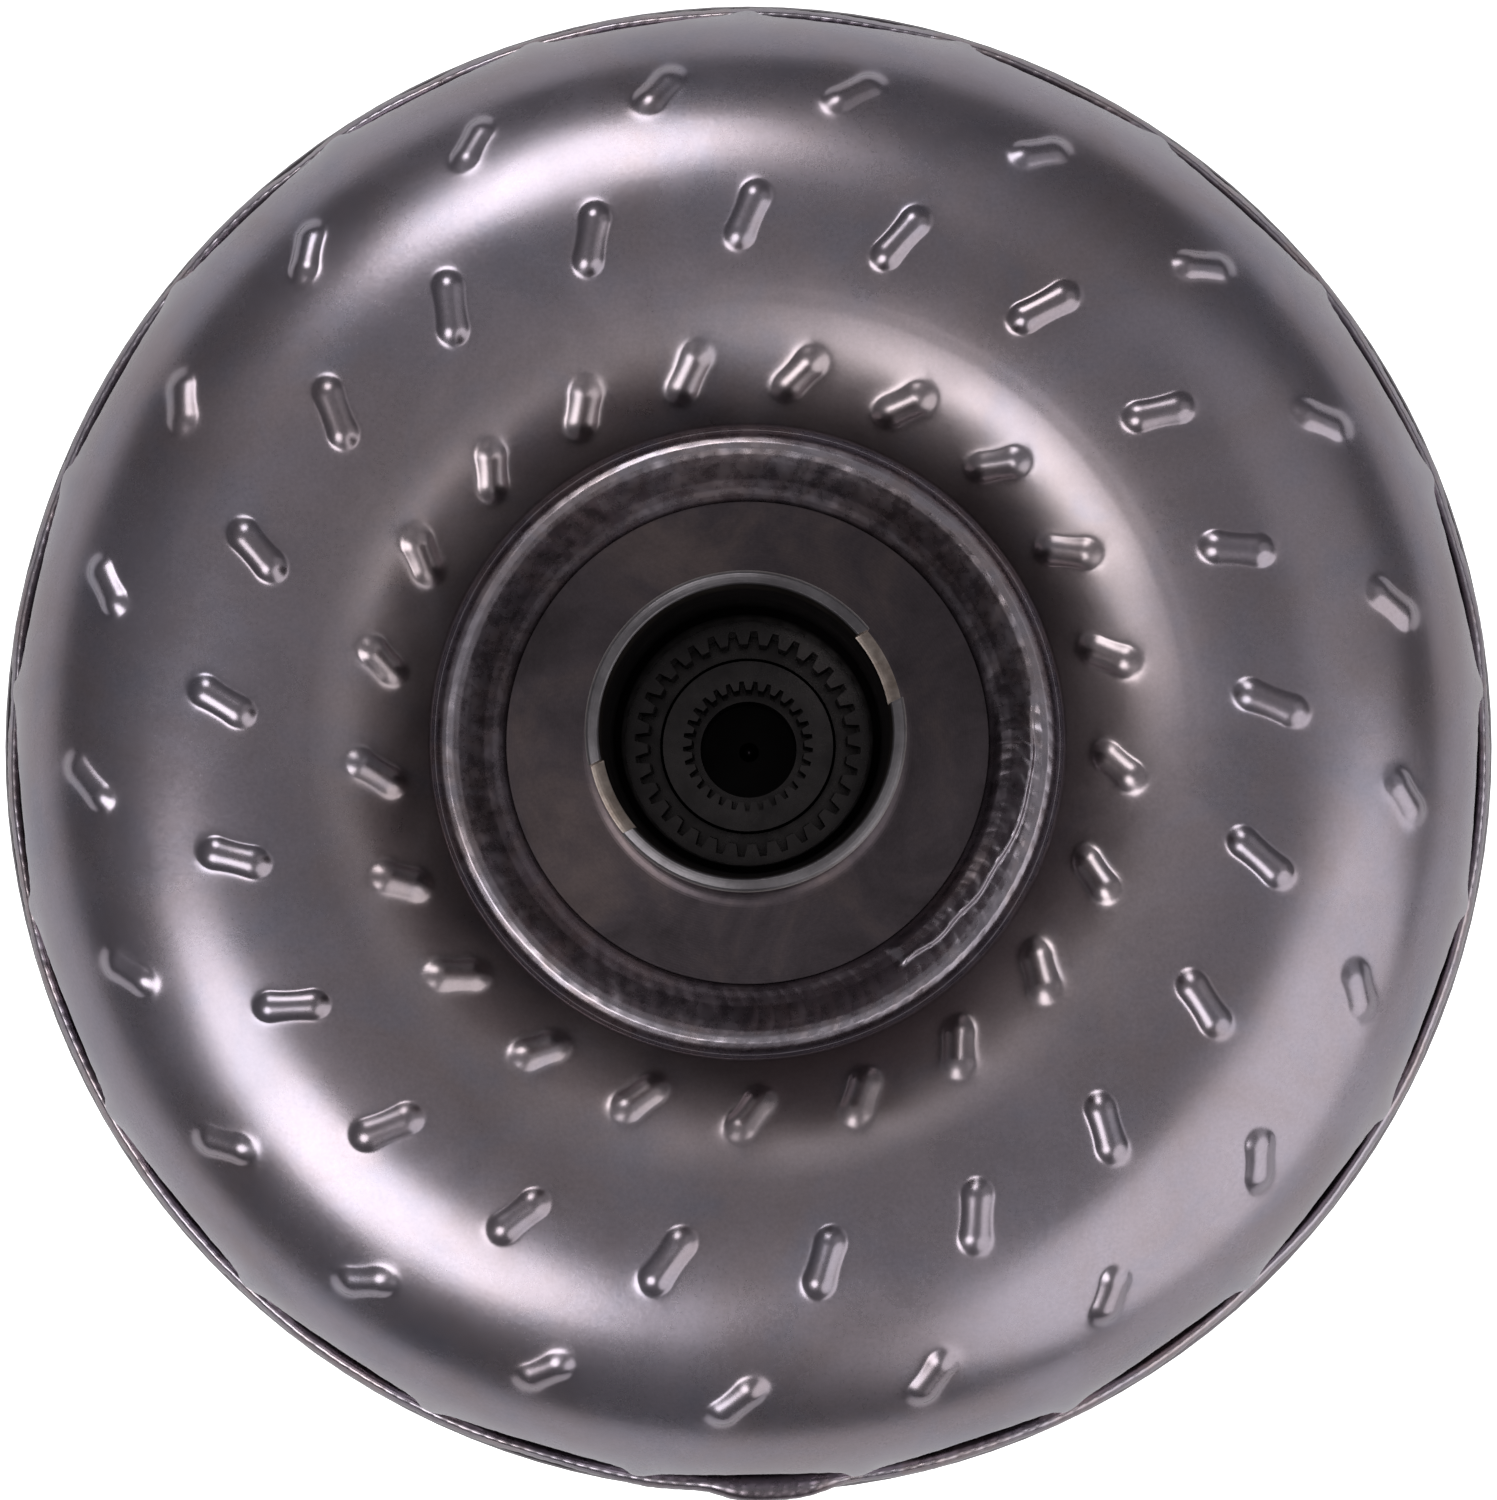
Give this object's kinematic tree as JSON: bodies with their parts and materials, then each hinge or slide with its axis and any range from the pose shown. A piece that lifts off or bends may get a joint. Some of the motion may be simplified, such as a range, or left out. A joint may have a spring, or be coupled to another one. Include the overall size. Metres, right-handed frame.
{
  "type": "torque converter",
  "caption": "Round sealed drum with a ribbed dome, a slotted hollow hub and bolt pads, coupling an engine to an automatic transmission through oil, with a lock-up clutch.",
  "frame": {"origin": "on the shaft axis, at the end of the crank pilot, the lowest point", "axes": "+Z along the shaft axis from the engine side to the transmission side; +X through the first drive pad; the first drive slot lies 26 degrees from +X towards +Y"},
  "size_m": [0.26, 0.26, 0.166],
  "materials": {
    "shell_steel": "satin pressed steel with a faint heat tint",
    "hub_steel": "turned and ground steel",
    "weld_metal": "rough weld bead with heat tint",
    "cover_steel": "satin pressed steel",
    "blade_steel": "bare stamped sheet",
    "plain_steel": "bare machined steel",
    "oiled_steel": "hardened steel, dark with oil",
    "hard_steel": "ground bearing steel",
    "spring_steel": "blued spring wire",
    "cast_aluminium": "die-cast",
    "brass_cage": "stamped",
    "friction_paper": "oil-soaked paper friction lining",
    "bronze_washer": "sintered bronze",
    "seal_polymer": "filled polymer"
  },
  "bodies": {
    "casing": {"impeller_shell": "shell_steel", "impeller_blades": "blade_steel", "impeller_core_ring": "blade_steel", "impeller_hub": "hub_steel", "hub_weld": "weld_metal", "front_cover": "cover_steel", "seam_weld": "weld_metal", "crank_pilot": "hub_steel", "pilot_weld": "weld_metal", "drive_pad_1": "plain_steel", "drive_pad_2": "plain_steel", "drive_pad_3": "plain_steel", "drive_pad_4": "plain_steel", "pad_welds": "weld_metal", "balance_weight": "plain_steel", "pump_bearing_upper_race": "hard_steel"},
    "turbine": {"turbine_shell": "blade_steel", "turbine_blades": "blade_steel", "turbine_core_ring": "blade_steel", "turbine_hub": "oiled_steel", "turbine_rivets": "plain_steel", "piston_seal_ring": "seal_polymer", "front_thrust_washer": "bronze_washer", "turbine_bearing_lower_race": "hard_steel"},
    "damper_output": {"damper_hub": "hub_steel"},
    "lockup_clutch": {"lockup_piston": "plain_steel", "friction_lining": "friction_paper", "damper_front_plate": "plain_steel", "damper_rear_plate": "plain_steel", "damper_rivets": "plain_steel"},
    "spring_set": {"damper_spring_1": "spring_steel", "damper_spring_2": "spring_steel", "damper_spring_3": "spring_steel", "damper_spring_4": "spring_steel", "damper_spring_5": "spring_steel", "damper_spring_6": "spring_steel"},
    "stator_support_race": {"clutch_inner_race": "oiled_steel"},
    "stator": {"stator_wheel": "cast_aluminium", "clutch_outer_race": "hard_steel", "clutch_rollers": "hard_steel", "clutch_springs": "spring_steel", "stator_back_plate": "plain_steel", "stator_front_plate": "plain_steel", "stator_snap_ring": "spring_steel", "pump_bearing_lower_race": "hard_steel", "turbine_bearing_upper_race": "hard_steel"},
    "pump_bearing": {"pump_bearing_cage": "brass_cage", "pump_bearing_needles": "hard_steel"},
    "turbine_bearing": {"turbine_bearing_cage": "brass_cage", "turbine_bearing_needles": "hard_steel"}
  },
  "joints": [
    {"name": "turbine_spin", "type": "hinge", "parent": "casing", "child": "turbine", "pos_m": [0, 0, 0.052], "axis": [0, 0, 1], "continuous": true},
    {"name": "lockup_slide", "type": "slide", "parent": "turbine", "child": "damper_output", "axis": [0, 0, -1], "range_m": [0, 0.0011]},
    {"name": "damper_twist", "type": "hinge", "parent": "damper_output", "child": "lockup_clutch", "pos_m": [0, 0, 0.035], "axis": [0, 0, 1], "range_deg": [-7, 7], "stiffness_Nm_per_rad": 900},
    {"name": "spring_follow", "type": "hinge", "parent": "damper_output", "child": "spring_set", "pos_m": [0, 0, 0.035], "axis": [0, 0, 1], "range_deg": [-3.5, 3.5], "deforming": ["damper_spring_1", "damper_spring_2", "damper_spring_3", "damper_spring_4", "damper_spring_5", "damper_spring_6"]},
    {"name": "support_spin", "type": "hinge", "parent": "casing", "child": "stator_support_race", "pos_m": [0, 0, 0.075], "axis": [0, 0, 1], "continuous": true},
    {"name": "stator_freewheel", "type": "hinge", "parent": "stator_support_race", "child": "stator", "pos_m": [0, 0, 0.075], "axis": [0, 0, 1], "range_deg": [0, 3600]},
    {"name": "pump_bearing_spin", "type": "hinge", "parent": "casing", "child": "pump_bearing", "pos_m": [0, 0, 0.0867], "axis": [0, 0, 1], "continuous": true},
    {"name": "turbine_bearing_spin", "type": "hinge", "parent": "casing", "child": "turbine_bearing", "pos_m": [0, 0, 0.0633], "axis": [0, 0, 1], "continuous": true}
  ],
  "couplings": [
    {"joint": "spring_follow", "follows": "damper_twist", "ratio": 0.5},
    {"joint": "pump_bearing_spin", "follows": "support_spin", "ratio": 0.5},
    {"joint": "turbine_bearing_spin", "follows": "turbine_spin", "ratio": 0.5}
  ]
}
